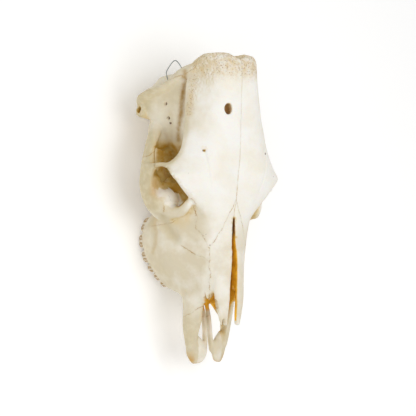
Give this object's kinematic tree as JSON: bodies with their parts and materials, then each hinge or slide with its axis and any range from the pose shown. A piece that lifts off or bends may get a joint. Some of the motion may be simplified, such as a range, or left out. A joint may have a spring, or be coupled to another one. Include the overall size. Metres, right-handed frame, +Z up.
{
  "type": "cow skull",
  "caption": "Hornless cow's skull without its lower jaw, parted along its main sutures, lying on its teeth and neck processes, with a small wire loop.",
  "frame": {"origin": "under the middle of the skull's bounding box, on the surface that it rests on", "axes": "-Y towards the muzzle, +Y towards the poll, +X to the animal's left, +Z up through the forehead"},
  "size_m": [0.2454, 0.4946, 0.1994],
  "materials": {
    "bone": "dry weathered bone, matt to faintly waxy",
    "wire": "galvanised wire"
  },
  "bodies": {
    "root": {"brain_case": "bone", "cheekbone_left": "bone", "cheekbone_right": "bone", "frontal_left": "bone", "frontal_right": "bone", "incisive_left": "bone", "incisive_right": "bone", "lacrimal_left": "bone", "lacrimal_right": "bone", "maxilla_left": "bone", "maxilla_right": "bone", "nasal_left": "bone", "nasal_right": "bone", "occipital": "bone", "palatine": "bone", "hanging_wire": "wire"}
  },
  "joints": []
}
